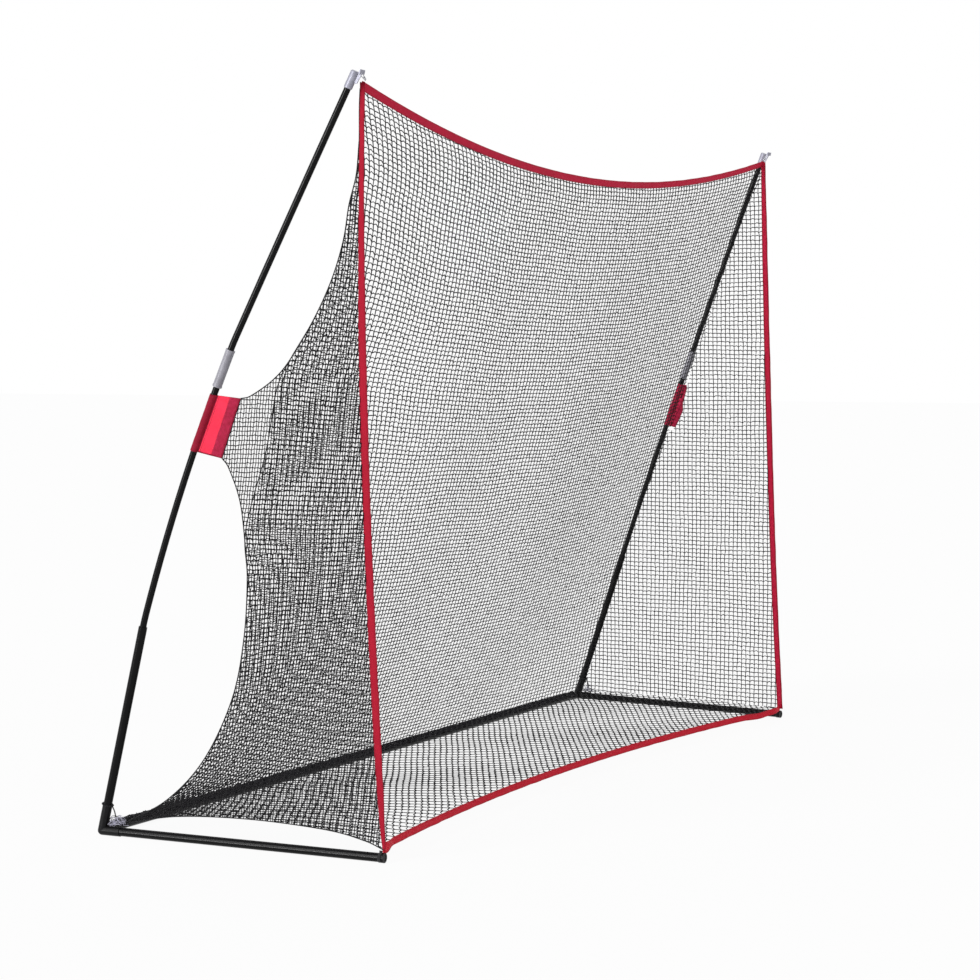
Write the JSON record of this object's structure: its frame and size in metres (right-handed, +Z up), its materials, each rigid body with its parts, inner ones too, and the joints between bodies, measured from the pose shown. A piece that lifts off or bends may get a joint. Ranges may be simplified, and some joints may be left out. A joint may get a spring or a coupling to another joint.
{
  "type": "golf practice net",
  "caption": "Free-standing golf practice net: a knotted net with red edge tapes hung from hooks on two leaning poles over a plug-together tube base, open at the front.",
  "frame": {"origin": "middle of the footprint on the floor", "axes": "+Z up, X along the width, the open front faces -Y"},
  "size_m": [3.0809, 0.9293, 2.1566],
  "materials": {
    "painted_tube": "satin black powder coat",
    "moulded_black": "satin",
    "coupler_grey": "matt",
    "cap_silver": "semi-gloss",
    "spring_steel": "bright",
    "net_cord": "knotted black cord",
    "red_tape": "woven red tape",
    "red_cloth": "red cloth with darker bound edges",
    "black_webbing": "woven",
    "white_cord": "braided cord"
  },
  "bodies": {
    "frame": {"rear_bar_left": "painted_tube", "rear_bar_middle": "painted_tube", "rear_bar_right": "painted_tube", "corner_fitting_left": "moulded_black", "side_bar_left": "painted_tube", "front_plug_left": "moulded_black", "lower_upright_left": "painted_tube", "pole_bush_left": "moulded_black", "middle_pole_left": "painted_tube", "pole_coupler_left": "coupler_grey", "upper_pole_left": "painted_tube", "pole_cap_left": "cap_silver", "side_net_left": "net_cord", "side_tape_left": "red_tape", "pole_sleeve_left": "red_cloth", "top_loop_left": "white_cord", "front_strap_left": "black_webbing", "rear_strap_left": "black_webbing", "corner_fitting_right": "moulded_black", "side_bar_right": "painted_tube", "front_plug_right": "moulded_black", "lower_upright_right": "painted_tube", "pole_bush_right": "moulded_black", "middle_pole_right": "painted_tube", "pole_coupler_right": "coupler_grey", "upper_pole_right": "painted_tube", "pole_cap_right": "cap_silver", "side_net_right": "net_cord", "side_tape_right": "red_tape", "pole_sleeve_right": "red_cloth", "top_loop_right": "white_cord", "front_strap_right": "black_webbing", "rear_strap_right": "black_webbing", "back_net": "net_cord", "floor_net": "net_cord", "rear_hem_roll": "net_cord", "top_tape": "red_tape", "hem_tape": "red_tape", "clip_spring_rear_left": "spring_steel", "clip_spring_side_left": "spring_steel", "clip_spring_upright_left": "spring_steel", "clip_spring_rear_right": "spring_steel", "clip_spring_side_right": "spring_steel", "clip_spring_upright_right": "spring_steel", "clip_spring_join_left": "spring_steel", "clip_spring_join_right": "spring_steel"},
    "button_rear_left": {"snap_button_rear_left": "spring_steel"},
    "button_side_left": {"snap_button_side_left": "spring_steel"},
    "button_upright_left": {"snap_button_upright_left": "spring_steel"},
    "button_rear_right": {"snap_button_rear_right": "spring_steel"},
    "button_side_right": {"snap_button_side_right": "spring_steel"},
    "button_upright_right": {"snap_button_upright_right": "spring_steel"},
    "button_join_left": {"snap_button_join_left": "spring_steel"},
    "button_join_right": {"snap_button_join_right": "spring_steel"}
  },
  "joints": [
    {"name": "press_rear_left", "type": "slide", "parent": "frame", "child": "button_rear_left", "axis": [0, -1, 0], "range_m": [0, 0.004], "stiffness_N_per_m": 700, "springref_m": -0.002, "deforming": ["clip_spring_rear_left"]},
    {"name": "press_side_left", "type": "slide", "parent": "frame", "child": "button_side_left", "axis": [-0.9965, -0.0833, 0], "range_m": [0, 0.004], "stiffness_N_per_m": 700, "springref_m": -0.002, "deforming": ["clip_spring_side_left"]},
    {"name": "press_upright_left", "type": "slide", "parent": "frame", "child": "button_upright_left", "axis": [-0.9965, -0.0833, 0], "range_m": [0, 0.004], "stiffness_N_per_m": 700, "springref_m": -0.002, "deforming": ["clip_spring_upright_left"]},
    {"name": "press_rear_right", "type": "slide", "parent": "frame", "child": "button_rear_right", "axis": [0, -1, 0], "range_m": [0, 0.004], "stiffness_N_per_m": 700, "springref_m": -0.002, "deforming": ["clip_spring_rear_right"]},
    {"name": "press_side_right", "type": "slide", "parent": "frame", "child": "button_side_right", "axis": [-0.9965, 0.0833, 0], "range_m": [0, 0.004], "stiffness_N_per_m": 700, "springref_m": -0.002, "deforming": ["clip_spring_side_right"]},
    {"name": "press_upright_right", "type": "slide", "parent": "frame", "child": "button_upright_right", "axis": [-0.9965, 0.0833, 0], "range_m": [0, 0.004], "stiffness_N_per_m": 700, "springref_m": -0.002, "deforming": ["clip_spring_upright_right"]},
    {"name": "press_join_left", "type": "slide", "parent": "frame", "child": "button_join_left", "axis": [0, -1, 0], "range_m": [0, 0.004], "stiffness_N_per_m": 700, "springref_m": -0.002, "deforming": ["clip_spring_join_left"]},
    {"name": "press_join_right", "type": "slide", "parent": "frame", "child": "button_join_right", "axis": [0, -1, 0], "range_m": [0, 0.004], "stiffness_N_per_m": 700, "springref_m": -0.002, "deforming": ["clip_spring_join_right"]}
  ]
}
